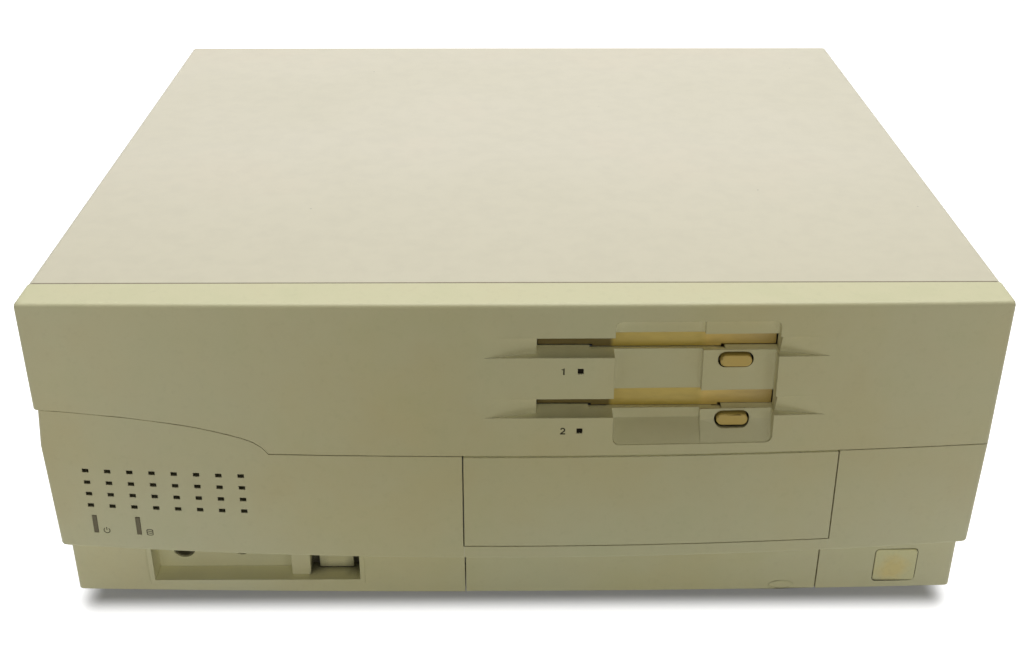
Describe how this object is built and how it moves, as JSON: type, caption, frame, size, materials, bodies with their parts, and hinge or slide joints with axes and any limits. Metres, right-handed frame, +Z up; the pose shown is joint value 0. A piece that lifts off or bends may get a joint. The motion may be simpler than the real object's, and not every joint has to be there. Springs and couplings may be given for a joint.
{
  "type": "vintage home computer",
  "caption": "Low beige desktop system unit with a bowed plastic front, stacked disk slots, a blank drive bay, speaker slits and a set-back skirt with ports and buttons.",
  "frame": {"origin": "centre of the footprint, on the surface that the feet stand on", "axes": "+X to the right seen from the front, +Y from the front to the back, +Z up"},
  "size_m": [0.382, 0.3522, 0.15],
  "materials": {
    "cover_paint": "fine-textured warm off-white paint on steel",
    "bezel_plastic": "fine-textured beige plastic, slightly yellowed",
    "aged_plastic": "satin beige plastic, strongly yellowed",
    "grey_plastic": "smooth translucent grey-green plastic",
    "black_plastic": "black moulded plastic",
    "rubber": "dark soft rubber",
    "steel": "zinc plated sheet steel",
    "cast_alloy": "cast or extruded light alloy",
    "circuit_board": "green lacquered board with dark components",
    "ribbon": "grey flat cable insulation",
    "cone": "black paper cone on a steel basket"
  },
  "bodies": {
    "machine": {"top_cover": "cover_paint", "chassis_pan": "steel", "front_plate": "steel", "rear_panel": "steel", "upper_bezel": "bezel_plastic", "lower_bezel": "bezel_plastic", "bay_cover": "bezel_plastic", "skirt_cover": "bezel_plastic", "foot_front_left": "rubber", "foot_front_right": "rubber", "foot_rear_left": "rubber", "foot_rear_right": "rubber", "cover_screw_left": "steel", "cover_screw_right": "steel", "power_switch": "black_plastic", "front_board": "circuit_board", "keyboard_socket": "black_plastic", "headphone_jack": "black_plastic", "power_light": "grey_plastic", "disk_light": "grey_plastic", "speaker": "cone", "drive_cage": "steel", "floppy_frame_1": "cast_alloy", "drive_light_1": "black_plastic", "floppy_frame_2": "cast_alloy", "drive_light_2": "black_plastic", "hard_disk": "cast_alloy", "main_board": "circuit_board", "processor_heatsink": "cast_alloy", "memory_module": "circuit_board", "backplane": "circuit_board", "card_cage": "steel", "slot_cover_1": "cover_paint", "slot_cover_2": "cover_paint", "slot_cover_3": "cover_paint", "slot_cover_4": "cover_paint", "serial_port": "steel", "printer_port": "steel", "display_port": "steel", "power_supply_case": "steel", "power_supply_lid": "steel", "power_supply_board": "circuit_board", "fan_frame": "black_plastic", "fan_guard": "steel", "mains_inlet": "black_plastic", "mains_outlet": "black_plastic", "drive_cable": "ribbon"},
    "power_button_body": {"power_button": "aged_plastic"},
    "reset_button_body": {"reset_button": "bezel_plastic"},
    "eject_button_1_body": {"eject_button_1": "aged_plastic"},
    "eject_button_2_body": {"eject_button_2": "aged_plastic"},
    "shutter_1_body": {"shutter_1": "aged_plastic"},
    "shutter_2_body": {"shutter_2": "aged_plastic"},
    "fan_rotor_body": {"fan_rotor": "black_plastic"},
    "spindle_hub_1_body": {"spindle_hub_1": "steel"},
    "spindle_hub_2_body": {"spindle_hub_2": "steel"},
    "head_carriage_1_body": {"head_carriage_1": "black_plastic"},
    "head_carriage_2_body": {"head_carriage_2": "black_plastic"},
    "lead_screw_1_body": {"lead_screw_1": "steel"},
    "lead_screw_2_body": {"lead_screw_2": "steel"}
  },
  "joints": [
    {"name": "power_press", "type": "slide", "parent": "machine", "child": "power_button_body", "axis": [0, 1, 0], "range_m": [0, 0.003], "stiffness_N_per_m": 300},
    {"name": "reset_press", "type": "slide", "parent": "machine", "child": "reset_button_body", "axis": [0, 1, 0], "range_m": [0, 0.0015], "stiffness_N_per_m": 300},
    {"name": "eject_slide_1", "type": "slide", "parent": "machine", "child": "eject_button_1_body", "axis": [0, -1, 0], "range_m": [0, 0.004]},
    {"name": "eject_slide_2", "type": "slide", "parent": "machine", "child": "eject_button_2_body", "axis": [0, -1, 0], "range_m": [0, 0.004]},
    {"name": "shutter_hinge_1", "type": "hinge", "parent": "machine", "child": "shutter_1_body", "pos_m": [0.0552, -0.1571, 0.1351], "axis": [1, 0, 0], "range_deg": [0, 80], "stiffness_Nm_per_rad": 0.0005},
    {"name": "shutter_hinge_2", "type": "hinge", "parent": "machine", "child": "shutter_2_body", "pos_m": [0.0552, -0.1595, 0.1096], "axis": [1, 0, 0], "range_deg": [0, 80], "stiffness_Nm_per_rad": 0.0005},
    {"name": "fan_spin", "type": "hinge", "parent": "machine", "child": "fan_rotor_body", "pos_m": [0.0909, 0.154, 0.0567], "axis": [0, 1, 0], "continuous": true},
    {"name": "spindle_spin_1", "type": "hinge", "parent": "machine", "child": "spindle_hub_1_body", "pos_m": [0.0552, -0.1042, 0.124], "axis": [0, 0, 1], "continuous": true},
    {"name": "spindle_spin_2", "type": "hinge", "parent": "machine", "child": "spindle_hub_2_body", "pos_m": [0.0552, -0.1066, 0.0985], "axis": [0, 0, 1], "continuous": true},
    {"name": "carriage_slide_1", "type": "slide", "parent": "machine", "child": "head_carriage_1_body", "axis": [0, 1, 0], "range_m": [0, 0.015]},
    {"name": "carriage_slide_2", "type": "slide", "parent": "machine", "child": "head_carriage_2_body", "axis": [0, 1, 0], "range_m": [0, 0.015]},
    {"name": "screw_turn_1", "type": "hinge", "parent": "machine", "child": "lead_screw_1_body", "pos_m": [0.0752, -0.045, 0.1256], "axis": [0, 1, 0], "range_deg": [0, 1800]},
    {"name": "screw_turn_2", "type": "hinge", "parent": "machine", "child": "lead_screw_2_body", "pos_m": [0.0752, -0.0474, 0.1001], "axis": [0, 1, 0], "range_deg": [0, 1800]}
  ],
  "couplings": [
    {"joint": "screw_turn_1", "follows": "carriage_slide_1", "rad_per_m": 2094.4},
    {"joint": "screw_turn_2", "follows": "carriage_slide_2", "rad_per_m": 2094.4}
  ]
}
